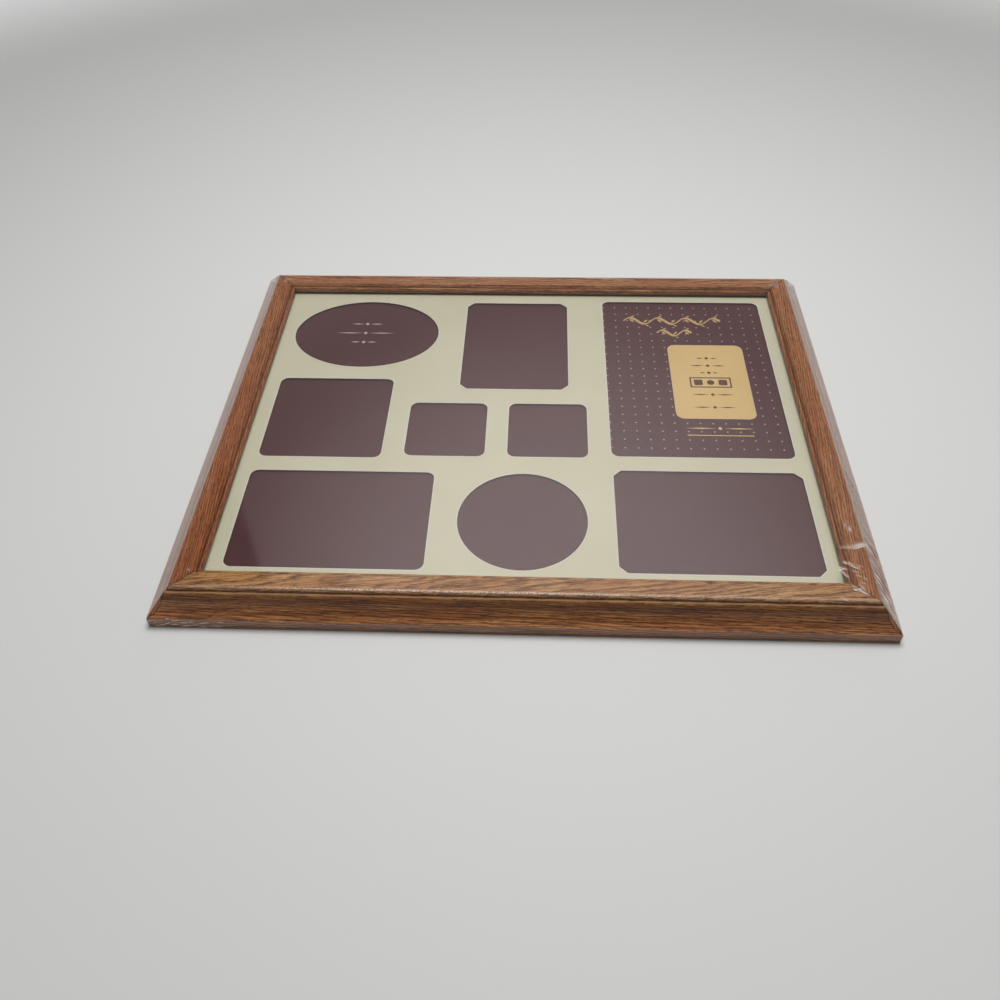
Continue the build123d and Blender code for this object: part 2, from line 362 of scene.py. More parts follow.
# hardboard's fibres lie three ways; each way is a turn and a shift of the same noise
BOARD_WAYS = ((0.3, (0, 0, 0)), (1.5, (40, 9, 0)), (2.5, (7, 60, 0)))
BOARD_NOISE = {"scales": (0.25, 2.6, 1.0), "detail": 3.0, "distortion": 0.6}
BOARD_DARK_RANGE = (0.58, 0.7, 0.0, 0.6)
BOARD_LIGHT_RANGE = (0.42, 0.3, 0.0, 0.5)
BOARD_FIBRE_HEIGHT = 0.4
BOARD_FIBRE_DEPTH = 0.05
METAL_PATCHES = (0.5, 0.5, 0.5)
METAL_WORN_RANGE = (0.45, 0.7)
METAL_GRAIN_RANGE = (0.3, 0.7)
METAL_GRAIN_ROUGHNESS = 0.18
METAL_GRAIN_DEPTH = 0.01


def card(name, colour, fleck, edge, grain, depth, roughness):
    """Paper or card with fine fibres and faint clouds, and its cut edges in another tone."""
    material, tree = start_material(name)
    place = place_in_frame(tree)
    scales = (grain, grain * CARD_FIBRE_SHAPE, grain)
    fibre = grain_noise(tree, place, scales, detail=4.0)
    clouds = grain_noise(tree, place, CARD_CLOUDS)
    tone = maths(tree, "ADD",
        between(tree, fibre, *CARD_FIBRE_RANGE), between(tree, clouds, *CARD_CLOUD_RANGE))
    normal = add_node(tree, "TexCoord").outputs["Normal"]
    facing_up = maths(tree, "ABSOLUTE", split(tree, normal)[2])
    cut_edge = between(tree, facing_up, *CUT_EDGE_RANGE)
    face = blend_colours(tree, tone, colour, fleck)
    finish_material(tree, {
        "Base Color": blend_colours(tree, cut_edge, face, edge),
        "Roughness": roughness,
        "Normal": bump(tree, fibre, depth),
    })
    return material


def hardboard(name):
    """Pressed brown board with short fibres lying every way."""
    material, tree = start_material(name)
    place = place_in_frame(tree)
    colour = BOARD_BROWN
    height = 0.5
    for turn, shift in BOARD_WAYS:
        lying = stretch(tree, place, (1, 1, 1), turn, shift)
        fibre = grain_noise(tree, lying, **BOARD_NOISE)
        colour = blend_colours(tree, between(tree, fibre, *BOARD_DARK_RANGE), colour, BOARD_DARK)
        colour = blend_colours(tree, between(tree, fibre, *BOARD_LIGHT_RANGE), colour, BOARD_LIGHT)
        height = maths(tree, "ADD", maths(tree, "MULTIPLY", fibre, BOARD_FIBRE_HEIGHT), height)
    finish_material(tree, {
        "Base Color": colour,
        "Roughness": 0.62,
        "Normal": bump(tree, height, BOARD_FIBRE_DEPTH),
    })
    return material


def metal(name, colour, worn, roughness, brush):
    """Sheet metal with a faint brushed grain and worn patches."""
    material, tree = start_material(name)
    place = place_in_frame(tree)
    grain = grain_noise(tree, place, brush, detail=3.0)
    patches = grain_noise(tree, place, METAL_PATCHES, detail=3.0)
    roughest = roughness + METAL_GRAIN_ROUGHNESS
    finish_material(tree, {
        "Base Color": blend_colours(tree, between(tree, patches, *METAL_WORN_RANGE), colour, worn),
        "Metallic": 1.0,
        "Roughness": between(tree, grain, *METAL_GRAIN_RANGE, roughness, roughest),
        "Normal": bump(tree, grain, METAL_GRAIN_DEPTH),
    })
    return material


# Clear film and glass

# how much a clear face mirrors when seen straight on, and the power by which that grows
# toward a glancing view
FACE_MIRROR = 0.04
GLANCE_POWER = 5.0
MILK_COLOUR = (1.0, 0.89, 0.81, 1)
WAVE_NOISE = {"scales": (0.9, 0.9, 0.9), "detail": 2.0, "roughness": 0.6}
# lines drawn slantwise down the film's sides: how far along they go for each step outward,
# how many to a millimetre, how high beside the ripple and how milky
LINE_SLANT = 0.9
LINE_PITCH = 0.55
LINE_RANGE = (0.51, 0.56)
LINE_RISE = 2.5
LINE_MILK = 1.35
# painted highlight along the front bead: its warm colour, and its grains from their least to
# their most milk
BEAD_HIGHLIGHT_COLOUR = (1.0, 0.73, 0.56, 1)
HIGHLIGHT_GRAIN_NOISE = {"scales": (0.9, 2.0, 2.0), "shift": (4, 0, 0), "detail": 4.0, "roughness": 0.8}
HIGHLIGHT_GRAIN_RANGE = (0.42, 0.60, 0.25, 1.7)


def drawn_lines(tree, place):
    """Thin slanting lines, where the mesh says that the film is drawn."""
    far_x, far_y = (maths(tree, "ABSOLUTE", axis) for axis in split(tree, place)[:2])
    slanting = maths(tree, "ADD", far_y, maths(tree, "MULTIPLY", far_x, -LINE_SLANT))
    threads = add_node(tree, "CombineXYZ", {0: slanting}).outputs[0]
    threads = noise(tree, threads, LINE_PITCH, detail=2.0, roughness=0.7)
    return maths(tree, "MULTIPLY", between(tree, threads, *LINE_RANGE), at_points(tree, "drawn"))


def clear(name, faces, tint, mirror_colour, mirror_roughness, haze, fold_haze, ripple):
    """Clear sheet whose mesh stands for one or both of its faces. It mirrors more at a
    glancing view. Folds and drawn lines turn it milky, and a warm milky band along the bead
    is a painted highlight."""
    material, tree = start_material(name)
    facing = add_node(tree, "LayerWeight", {"Blend": 0.5}).outputs["Facing"]
    glance = maths(tree, "MULTIPLY_ADD",
        maths(tree, "POWER", facing, GLANCE_POWER), 1 - FACE_MIRROR, FACE_MIRROR)
    if faces == 2:
        # where one face mirrors r, both together mirror 2 r / (1 + r)
        glance = maths(tree, "DIVIDE",
            maths(tree, "MULTIPLY", glance, 2.0), maths(tree, "ADD", glance, 1.0))
    mirror = {"Color": mirror_colour, "Roughness": mirror_roughness}
    milkiness = haze
    milk_colour = MILK_COLOUR
    if ripple:
        place = place_in_frame(tree)
        waves = grain_noise(tree, place, **WAVE_NOISE)
        threads = drawn_lines(tree, place)
        height = maths(tree, "MULTIPLY_ADD",
            waves, at_points(tree, "ripple"), maths(tree, "MULTIPLY", threads, LINE_RISE))
        mirror["Normal"] = bump(tree, height, ripple)
        # a warm milky band along the front bead: painted highlight
        highlighted = at_points(tree, "painted_highlight")
        milk_colour = blend_colours(tree, highlighted, MILK_COLOUR, BEAD_HIGHLIGHT_COLOUR)
        highlight_grains = between(tree, grain_noise(tree, place, **HIGHLIGHT_GRAIN_NOISE), *HIGHLIGHT_GRAIN_RANGE)
        folds = maths(tree, "ADD",
            at_points(tree, "fold"), maths(tree, "MULTIPLY", threads, LINE_MILK))
        folds = maths(tree, "ADD", folds, maths(tree, "MULTIPLY", highlighted, highlight_grains))
        milkiness = maths(tree, "MULTIPLY_ADD", folds, fold_haze, haze, clamp=True)
    through = add_node(tree, "BsdfTransparent", {"Color": tint})
    milk = add_node(tree, "BsdfDiffuse", {"Color": milk_colour})
    body = add_node(tree, "MixShader",
        {0: milkiness, 1: through.outputs[0], 2: milk.outputs[0]})
    whole = add_node(tree, "MixShader",
        {0: glance, 1: body.outputs[0], 2: add_node(tree, "BsdfGlossy", mirror).outputs[0]})
    add_node(tree, "OutputMaterial", {"Surface": whole.outputs[0]})
    return material


# Mesh helpers

WELD_REACH = 0.01
SOFT_ANGLE = 35
RAIL_SOFTNESS = 0.2


def add_piece(name, points, faces, material, smooth=False):
    """A mesh piece that rides on the frame's body."""
    mesh = bpy.data.meshes.new(name)
    mesh.from_pydata([tuple(c * MM for c in p) for p in points], [], faces)
    mesh.validate()
    mesh.update()
    mesh.polygons.foreach_set("use_smooth", [smooth] * len(mesh.polygons))
    piece = bpy.data.objects.new(name, mesh)
    bpy.context.scene.collection.objects.link(piece)
    mesh.materials.append(material)
    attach(piece, BODY)
    return piece


def add_plates(name, outlines, low, high, material):
    """Flat plates with the outlines given, from one height to another, as one piece."""
    points, faces = [], []
    for outline in outlines:
        start, count = len(points), len(outline)
        points += [(x, y, low) for x, y in outline] + [(x, y, high) for x, y in outline]
        faces.append(tuple(range(start + count - 1, start - 1, -1)))
        faces.append(tuple(range(start + count, start + 2 * count)))
        for i in range(count):
            j = (i + 1) % count
            faces.append((start + i, start + j, start + count + j, start + count + i))
    return add_piece(name, points, faces, material)


def use(node, material):
    """Give a carried-over node its material."""
    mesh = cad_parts[node].data
    mesh.materials.clear()
    mesh.materials.append(material)


def soften(node, width):
    """Round a carried-over node's sharp edges a little."""
    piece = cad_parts[node]
    weld = piece.modifiers.new("weld", "WELD")
    weld.merge_threshold = WELD_REACH * MM
    edges = piece.modifiers.new("soft_edges", "BEVEL")
    edges.width = width * MM
    edges.segments = 2
    edges.limit_method = "ANGLE"
    edges.angle_limit = math.radians(SOFT_ANGLE)


# Carried-over nodes. A card's colours are its face, its flecks and its cut edge; a metal's
# are its face and its worn patches.

# the mat's cut edge colour is dark: painted shade on the walls of its windows
MAT_COLOURS = (srgb(240, 232, 206), srgb(232, 223, 195), srgb(120, 106, 82))
PRINT_COLOURS = (srgb(96, 52, 57), srgb(90, 47, 53), srgb(150, 130, 126))
PAD_COLOURS = (srgb(168, 158, 140), srgb(140, 131, 115), srgb(150, 140, 122))
TAB_COLOURS = (srgb(70, 70, 74), srgb(112, 110, 110))
NAIL_COLOURS = (srgb(186, 187, 190), srgb(160, 160, 162))
HANGER_COLOURS = (srgb(205, 190, 140), srgb(186, 178, 160))
RIVET_COLOURS = (srgb(214, 214, 218), srgb(196, 196, 200))
BRUSHED_X = (0.6, 6, 6)
BRUSHED_Z = (6, 6, 0.6)
CAST = (4, 4, 4)

for side in SIDES:
    turn = 0.0 if side in ("top", "bottom") else math.pi / 2
    wood = oak(f"oak_{side}", turn, RAIL_SHIFTS[side], RAIL_LEANS[side], *RAIL_LIGHT_TINTS[side])
    use(f"rail_{side}", wood)
    soften(f"rail_{side}", RAIL_SOFTNESS)
use("mat_board", card("mat_card", *MAT_COLOURS, grain=3.0, depth=0.012, roughness=0.78))
use("print_sheet", card("print_paper", *PRINT_COLOURS, grain=2.5, depth=0.006, roughness=0.5))
use("filler_pad", card("grey_card", *PAD_COLOURS, grain=1.2, depth=0.03, roughness=0.85))
use("backing_board", hardboard("hardboard"))
tab_metal = metal("tab_steel", *TAB_COLOURS, roughness=0.36, brush=BRUSHED_X)
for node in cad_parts:
    if node.startswith("tab_"):
        use(node, tab_metal)
use("corner_nails", metal("nail_steel", *NAIL_COLOURS, roughness=0.3, brush=BRUSHED_Z))
hanger_metal = metal("hanger_steel", *HANGER_COLOURS, roughness=0.3, brush=BRUSHED_Z)
use("hanger_wide", hanger_metal)
use("hanger_tall", hanger_metal)
use("hanger_rivets", metal("rivet_alloy", *RIVET_COLOURS, roughness=0.28, brush=CAST))

# Mat: the burr that the cutter left round each window, found from the edges of the card's
# face, paler than the card as a painted highlight. Its section is given as steps into the
# window and up from the face.

BURR_PROFILE = ((-0.7, -0.1), (-0.6, 0.03), (-0.2, 0.05), (0.05, 0.0), (0.09, -0.2), (-0.1, -0.3))
BURR_HIGHLIGHT_COLOURS = (srgb(254, 245, 234), srgb(248, 238, 226), srgb(254, 245, 234))
SHARPEST_TURN = 0.5


def face_loops(node, level):
    """Closed outlines of a node's flat top face, the outer one left out."""
    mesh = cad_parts[node].data
    spots = [tuple(round(c / MM, 3) for c in v.co) for v in mesh.vertices]
    following = {}
    for polygon in mesh.polygons:
        corners = [spots[i] for i in polygon.vertices]
        if all(abs(c[2] - level) < WELD_REACH for c in corners):
            for start, end in zip(corners, corners[1:] + corners[:1]):
                if following.get(end) and start in following[end]:
                    following[end].remove(start)
                else:
                    following.setdefault(start, []).append(end)
    loops = []
    while any(following.values()):
        start = next(spot for spot in following if following[spot])
        loop = [start]
        while following[loop[-1]]:
            loop.append(following[loop[-1]].pop())
        loops.append([Vector(spot[:2]) for spot in loop[:-1]])
    loops.sort(key=lambda loop: max(point.x for point in loop) - min(point.x for point in loop))
    return loops[:-1]


def add_burr(name, loops, level, material):
    """A thin rounded bead that follows the outlines."""
    points, faces = [], []
    ring = len(BURR_PROFILE)
    for loop in loops:
        start, count = len(points), len(loop)
        for i, here in enumerate(loop):
            before = (here - loop[i - 1]).normalized()
            after = (loop[(i + 1) % count] - here).normalized()
            along = (before + after).normalized()
            inward = Vector((along.y, -along.x)) / max(along.dot(after), SHARPEST_TURN)
            for out, rise in BURR_PROFILE:
                points.append((*(here + inward * out), level + rise))
        for i in range(count):
            for k in range(ring):
                a, b = start + i * ring, start + (i + 1) % count * ring
                faces.append((a + k, b + k, b + (k + 1) % ring, a + (k + 1) % ring))
    return add_piece(name, points, faces, material, smooth=True)


mat_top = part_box("mat_board")[1].z / MM
burr_highlight_card = card("burr_highlight_card", *BURR_HIGHLIGHT_COLOURS, grain=3.0, depth=0.01, roughness=0.7)
add_burr("mat_burr", face_loops("mat_board", mat_top), mat_top, burr_highlight_card)

# Glass: a pane with its arrises ground, just clear of the mat and the lip

GLASS_TINT = (0.972, 0.985, 0.975, 1)
GLASS_MIRROR = (0.95, 0.87, 0.87, 1)
GLASS_CLEAR = 0.06
GLASS_ARRIS = 0.35
glass_low, glass_high = (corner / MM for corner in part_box("glass_pane"))
glass_rings = (
    (GLASS_ARRIS, glass_low.z + GLASS_CLEAR),
    (0.0, glass_low.z + GLASS_CLEAR + GLASS_ARRIS),
    (0.0, glass_high.z - GLASS_CLEAR - GLASS_ARRIS),
    (GLASS_ARRIS, glass_high.z - GLASS_CLEAR),
)
glass_points = []
for inset, level in glass_rings:
    for sx, sy in CORNERS:
        glass_points.append((sx * (glass_high.x - inset), sy * (glass_high.y - inset), level))
bottom_face = tuple(reversed(range(len(CORNERS))))
top_face = tuple(range(len(glass_points) - len(CORNERS), len(glass_points)))
glass_faces = [bottom_face, top_face]
for ring in range(len(glass_rings) - 1):
    for i in range(len(CORNERS)):
        a = len(CORNERS) * ring + i
        b = len(CORNERS) * ring + (i + 1) % len(CORNERS)
        glass_faces.append((a, b, b + len(CORNERS), a + len(CORNERS)))
glass = clear("glass", faces=1, tint=GLASS_TINT, mirror_colour=GLASS_MIRROR,
    mirror_roughness=0.0, haze=0.0, fold_haze=0.0, ripple=0.0)
pane = add_piece("glass_sheet", glass_points, glass_faces, glass)
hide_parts("glass_pane")

# Print: dots, a tan panel and plain ornaments where the wording was, in thin layers of ink

print_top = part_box("print_sheet")[1].z / MM
INK_SINK = 0.02
INK = 0.04
DOT_INK = (srgb(224, 188, 180), srgb(214, 178, 170))
TAN_INK = (srgb(253, 213, 147), srgb(246, 206, 140))
EDGE_INK = (srgb(240, 214, 190), srgb(232, 206, 182))
GOLD_INK = (srgb(240, 202, 138), srgb(230, 190, 124))
PALE_INK = (srgb(232, 208, 204), srgb(224, 198, 194))
BROWN_INK = (srgb(104, 62, 50), srgb(96, 56, 46))
DOT_PITCH = (8.02, 7.755)
DOT_START = (53.85, 121.6)
DOT_COUNT = (14, 20)
DOT_RADIUS = 0.55
DOT_SIDES = 14
PANEL_CENTRE = (121.0, 40.1)
PANEL_SIZE = (50.0, 75.6)
PANEL_CORNER = 5.0
PANEL_EDGE = 0.35
# a pen's slant, and a stem's thin and thick strokes
PEN_SLANT = Vector((0.77, 0.64))
PEN_AHEAD = 0.001
PEN_THIN = 0.8
PEN_THICK = 2.1
STEPS_TO_BEND = 12
# a leaf's steps and its width for its length, and the leaves in each bend: how far along and
# outward from the crest they start, their length for the stem's swing, and their turn
LEAF_STEPS = 8
LEAF_SHARE = 0.17
LEAVES = ((-0.5, -1.5, 1.3, -0.9), (0.6, 1.0, 0.9, 0.6))
# vines: from, to, height, swing and bends
VINES = ((67.5, 135.5, 106.0, 3.6, 7), (90, 114, 92.0, 3.2, 3))
DIAMOND = 1.5
DIAMOND_CLEAR = 1.6
RULE = 1.2
# the rules under the panel: place and length, and the bar's width too
LOWER_DIVIDER = (121.8, -7.0, 42.5)
LOWER_BAR = (121.5, -13.5, 41.0, 0.8)
# dividers in the oval and on the panel: height and length
OVAL_X = -113.9
OVAL_DIVIDERS = ((98.9, 22.0), (88.3, 40.0), (77.9, 18.0))
PANEL_DIVIDERS = ((23.6, 14.0), (15.6, 24.0), (8.1, 12.0), (-14.4, 27.0), (-27.0, 27.0))
# the small drawing of a frame: its size and line, and its square and round windows
ICON_DROP = 2.0
ICON_LENGTH = 27.0
ICON_WIDTH = 10.5
ICON_LINE = 1.0
ICON_SQUARE_AT = 8.0
ICON_SQUARE = 5.6
ICON_SQUARE_CORNER = 1.0
ICON_ROUND = 2.4


def disc(x, y, radius, sides):
    """Outline of a round spot."""
    turns = [2 * math.pi * i / sides for i in range(sides)]
    return [(x + radius * math.cos(t), y + radius * math.sin(t)) for t in turns]


def rounded(x, y, length, width, corner, steps=8):
    """Outline of a rectangle with round corners."""
    outline = []
    for quarter, (sx, sy) in enumerate(((1, 1), (-1, 1), (-1, -1), (1, -1))):
        cx, cy = x + sx * (length / 2 - corner), y + sy * (width / 2 - corner)
        for i in range(steps + 1):
            turn = (quarter + i / steps) * math.pi / 2
            outline.append((cx + corner * math.cos(turn), cy + corner * math.sin(turn)))
    return outline


def bar(x, y, length, width):
    """Outline of a plain bar."""
    return [
        (x + length / 2, y + width / 2),
        (x - length / 2, y + width / 2),
        (x - length / 2, y - width / 2),
        (x + length / 2, y - width / 2),
    ]


def ink(name, colour, fleck):
    """Flat printing ink, a little glossier than the paper."""
    return card(name, colour, fleck, fleck, grain=2.5, depth=0.004, roughness=0.45)


def lay_ink(name, outlines, material, layer=1):
    """One ink's shapes on the print."""
    top = print_top + layer * INK
    return add_plates(name, outlines, print_top - INK_SINK, top, material)


def pen_stroke(path, steps, thin, thick):
    """Outline of a broad pen's stroke along a path, thin at both ends and where it climbs."""
    left, right = [], []
    for i in range(steps + 1):
        t = i / steps
        here, ahead = Vector(path(t)), Vector(path(t + PEN_AHEAD))
        along = (ahead - here).normalized()
        slant = abs(along.cross(PEN_SLANT)) if i not in (0, steps) else 0
        across = Vector((-along.y, along.x)) * (thin + (thick - thin) * slant) / 2
        left.append((here + across)[:])
        right.append((here - across)[:])
    return left + right[::-1]


def leaf(x, y, length, turn):
    """Outline of a pointed leaf."""
    outline = []
    for i in range(2 * LEAF_STEPS):
        t = i / LEAF_STEPS
        along = length * (t if t <= 1 else 2 - t)
        across = length * LEAF_SHARE * math.sin(math.pi * t)
        outline.append((
            x + along * math.cos(turn) - across * math.sin(turn),
            y + along * math.sin(turn) + across * math.cos(turn)))
    return outline


def vine(start_x, end_x, y, swing, bends):
    """A waving stem with two leaves in each bend."""
    span = end_x - start_x

    def stem(t):
        return start_x + span * t, y + swing * math.sin(math.pi * bends * t)

    shapes = [pen_stroke(stem, STEPS_TO_BEND * bends, PEN_THIN, PEN_THICK)]
    for bend in range(bends):
        x, crest = stem((bend + 0.5) / bends)
        up = 1 if crest > y else -1
        for along, outward, length, turn in LEAVES:
            shapes.append(leaf(x + along, crest + up * outward, length * swing, up * turn))
    return shapes


def divider(x, y, length):
    """A thin rule with a diamond in its middle."""
    shapes = [[(x + DIAMOND, y), (x, y + DIAMOND), (x - DIAMOND, y), (x, y - DIAMOND)]]
    for way in (-1, 1):
        start, end = x + way * DIAMOND_CLEAR * DIAMOND, x + way * length / 2
        middle = (start + end) / 2
        rule = [(start, y), (middle, y + RULE / 2), (end, y), (middle, y - RULE / 2)]
        shapes.append(rule if way < 0 else rule[::-1])
    return shapes


def frame_icon(x, y):
    """A small drawing of a frame with three windows."""
    shapes = []
    for way in (-1, 1):
        rail_y = y + way * (ICON_WIDTH - ICON_LINE) / 2
        shapes.append(bar(x, rail_y, ICON_LENGTH, ICON_LINE))
        rail_x = x + way * (ICON_LENGTH - ICON_LINE) / 2
        shapes.append(bar(rail_x, y, ICON_LINE, ICON_WIDTH - 2 * ICON_LINE))
        square_x = x + way * ICON_SQUARE_AT
        square = rounded(square_x, y, ICON_SQUARE, ICON_SQUARE, ICON_SQUARE_CORNER, steps=4)
        shapes.append(square)
    shapes.append(disc(x, y, ICON_ROUND, 2 * DOT_SIDES))
    return shapes


dots = []
for column in range(DOT_COUNT[0]):
    for row in range(DOT_COUNT[1]):
        x = DOT_START[0] + column * DOT_PITCH[0]
        y = DOT_START[1] - row * DOT_PITCH[1]
        off_x = abs(x - PANEL_CENTRE[0]) - PANEL_SIZE[0] / 2
        off_y = abs(y - PANEL_CENTRE[1]) - PANEL_SIZE[1] / 2
        if max(off_x, off_y) > DOT_RADIUS:
            dots.append(disc(x, y, DOT_RADIUS, DOT_SIDES))
lay_ink("print_dots", dots, ink("dot_ink", *DOT_INK))
tan_ink = ink("tan_ink", *TAN_INK)
lay_ink("print_panel", [rounded(*PANEL_CENTRE, *PANEL_SIZE, PANEL_CORNER)], tan_ink)
edge_size = (side + 2 * PANEL_EDGE for side in PANEL_SIZE)
panel_edge = rounded(*PANEL_CENTRE, *edge_size, PANEL_CORNER + PANEL_EDGE)
lay_ink("print_panel_edge", [panel_edge], ink("edge_ink", *EDGE_INK), layer=0.5)

# vines in gold at the top of the large window, rules in tan under the panel
vines = [shape for stem in VINES for shape in vine(*stem)]
lay_ink("print_vine", vines, ink("gold_ink", *GOLD_INK))
lay_ink("print_rules", [*divider(*LOWER_DIVIDER), bar(*LOWER_BAR)], tan_ink)

# three dividers in the oval
oval_marks = [shape for y, length in OVAL_DIVIDERS for shape in divider(OVAL_X, y, length)]
lay_ink("print_dividers", oval_marks, ink("pale_ink", *PALE_INK))

# on the panel, dividers and the small drawing of a frame
panel_x, panel_y = PANEL_CENTRE
panel_marks = []
for rise, length in PANEL_DIVIDERS:
    panel_marks += divider(panel_x, panel_y + rise, length)
panel_marks += frame_icon(panel_x, panel_y - ICON_DROP)
lay_ink("print_marks", panel_marks, ink("brown_ink", *BROWN_INK), layer=2)

# Film: one sheet over the face, down the sides and under the back, gathered at the corners.
# Places on the flat sheet are u and v, and a run is a way along it, out from the bead's crown.

film_low, film_high = (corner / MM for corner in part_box("film_top"))
CROWN_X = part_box("film_right")[0].x / MM
CROWN_Y = film_low.y
# the sheet lies in the middle of the solids that stand for its sides
FILM_HALF = 0.1
FILM_TOP = film_high.z - FILM_HALF
# bends of the film, out from the crown of the bead and up from the table: round the bead,
# then the shoulder, the edge of the base and the hem
BEAD_WRAP = 2.25
BEAD_TURNS = 5
SHOULDER = (5.25, 15.75)
BASE_OUT = 13.05
BASE_TOP = 6.75
HEM_OUT = 6.8
FILM_BENDS = (
    *(
        (BEAD_WRAP * math.sin(turn), FILM_TOP - BEAD_WRAP * (1 - math.cos(turn)))
        for turn in np.linspace(0, math.pi / 4, BEAD_TURNS)
    ),
    SHOULDER,
    (BASE_OUT, BASE_TOP),
    (BASE_OUT, FILM_HALF),
    (HEM_OUT, FILM_HALF),
)
bend_points = np.array(FILM_BENDS)
bend_runs = np.concatenate(([0.0], np.cumsum(np.hypot(*np.diff(bend_points, axis=0).T))))
# steps of the mesh beside the near and right edges, beside the far and left ones, and
# between them
FINE_STEP = 0.32
FAR_STEP = 0.8
COARSE_STEP = 3.0
FINE_REACH = 42.0
# how far the film may leave its place at each run, outward and inward
ROOM_RUNS = (-6.0, 0.0, 1.8, 4.0, 7.0, 12.9, 18.8, 22.0, 25.5, 31.7)
ROOM_OUT = (0.08, 0.08, 0.08, 0.3, 0.3, 0.5, 0.08, 0.08, 0.04, 0.04)
ROOM_IN = (0.55, 0.17, 0.17, 0.17, 0.2, 1.2, 0.18, 0.18, 0.06, 0.04)
# fine ripples by their run, and how deep they are
FILM_RIPPLE = 0.15
RIPPLE_RUNS = (-4.0, -1.0, 2.5, 5.0)
RIPPLE_SHARES = (0.0, 1.0, 1.0, 0.3)

# Creases of the film. Each is two ends on the flat sheet, a half width, a height out of the
# sheet and how milky it is. The longest ones are listed, the others placed by seeded dice.
CREASE_SEED = 11
CREASE_ENDS = (0.03, 0.97)
PLACED_FOLDS = (
    ((171.0, -111.2), (178.6, -110.7), 0.9, -0.35, 0.35),
    ((177.5, -110.7), (189.5, -107.0), 1.5, -0.40, 0.75),
    ((177.5, -112.3), (186.0, -109.5), 0.6, -0.25, 0.5),
    ((167.5, -125.6), (171.8, -132.3), 0.5, -0.30, 0.8),
    ((173.8, -123.1), (178.4, -126.0), 0.5, -0.30, 0.8),
    ((174.5, -139.2), (179.0, -142.9), 0.6, -0.35, 0.9),
)
# gathers toward a corner: which corner and side, how far along they reach and how high.
# They run from the bead to a foot farther down, which is nearer to the corner by the slant.
CORNER_START = 4.0
GATHER_SLANT = 12.0
GATHER_FADE = 0.6
GATHER_TOPS = (0.8, 3.0)
GATHER_FEET = (14, 19)
GATHER_LIFTS = (0.5, 1.0)
GATHER_WIDTHS = (0.5, 0.9)
GATHER_MILKS = (0.0, 0.5)
GATHER_STEPS = (1.8, 3.6)
GATHERS = (
    ((1, -1), "x", 101.0, 0.80),
    ((1, 1), "x", 24.0, 0.20),
    ((1, 1), "y", 22.0, 0.20),
    ((-1, 1), "x", 26.0, 0.20),
    ((-1, 1), "y", 18.0, 0.20),
)
# small creases: round which place, how far they spread and how many
SMALL_TURNS = (-1.2, 0.2)
SMALL_HALVES = (0.8, 2.6)
SMALL_WIDTHS = (0.4, 0.6)
SMALL_DEPTHS = (0.1, 0.3)
SMALL_MILKS = (0.2, 0.8)
SMALL_FOLDS = (
    ((179.0, -96.0), 2.2, 7),
    ((173.5, -125.0), 3.0, 9),
    ((176.3, -137.5), 2.4, 9),
    ((165.9, -145.6), 0.6, 1),
    ((-177.0, -134.8), 0.8, 1),
    ((178.0, 141.0), 2.2, 5),
    ((-178.0, 141.0), 2.2, 5),
)
# film bunched on the front edge at one corner: rough waves and the milk on their crests
CRUMPLE_CORNER = (-1, -1)
CRUMPLE_REACH = 42.0
CRUMPLE_WAVES = 14
CRUMPLE_TURNS = (-0.4, 0.4)
CRUMPLE_PITCHES = (1.6, 4.0)
CRUMPLE_FROM = 17.5
CRUMPLE_EASE = 2.0
CRUMPLE_FADE = 0.7
CRUMPLE_HEIGHT = 0.3
CRUMPLE_MILK = 2.2
CRUMPLE_CRESTS = 0.3
# corners toward which the film's side is drawn in lines, how far along they reach and how
# strong they are
DRAWN_LINES = (((1, -1), 105.0, 1.0), ((1, 1), 30.0, 0.5), ((-1, 1), 26.0, 0.4))
DRAWN_START = 1.15
DRAWN_FROM = 2.0
DRAWN_EASE = 3.0
# painted highlight along the bead in front: how strong at each place, how far out from the
# crown it lies and how wide it is
HIGHLIGHT_PLACES = (-190.0, -130.0, -90.0, 20.0, 80.0, 190.0)
HIGHLIGHT_SHARES = (0.15, 0.5, 1.0, 1.0, 0.55, 0.3)
HIGHLIGHT_OUT = 0.7
HIGHLIGHT_WIDTH = 0.6
FILM_TINT = (0.98, 0.975, 0.98, 1)
FILM_MIRROR = (0.74, 0.68, 0.66, 1)


def edge_stations(crown, step):
    """Places near one edge of the sheet, out from its coarse middle."""
    near = np.linspace(crown - FINE_REACH, crown, round(FINE_REACH / step) + 1)[1:]
    over = []
    for start, end in zip(bend_runs[:-1], bend_runs[1:]):
        count = max(1, round((end - start) / step))
        over.append(crown + np.linspace(start, end, count + 1)[1:])
    return np.concatenate([near, *over])


def film_stations(crown, low_step, high_step):
    """Places along one axis of the sheet: fine near the edges, coarse in the middle."""
    fine_from = crown - FINE_REACH
    middle = np.linspace(-fine_from, fine_from, round(2 * fine_from / COARSE_STEP) + 1)
    low, high = edge_stations(crown, low_step), edge_stations(crown, high_step)
    return np.concatenate([-low[::-1], middle, high])


def film_surface(u, v):
    """Where the flat sheet's point (u, v) lies once it is wrapped."""
    over_x = np.maximum(np.abs(u) - CROWN_X, 0)
    over_y = np.maximum(np.abs(v) - CROWN_Y, 0)
    run = np.maximum(over_x, over_y)
    out = np.interp(run, bend_runs, bend_points[:, 0])
    height = np.interp(run, bend_runs, bend_points[:, 1])
    share = np.where(run > 0, out / np.maximum(run, 1e-9), 0)
    x = np.sign(u) * (np.minimum(np.abs(u), CROWN_X) + over_x * share)
    y = np.sign(v) * (np.minimum(np.abs(v), CROWN_Y) + over_y * share)
    return np.stack([x, y, height], axis=-1)


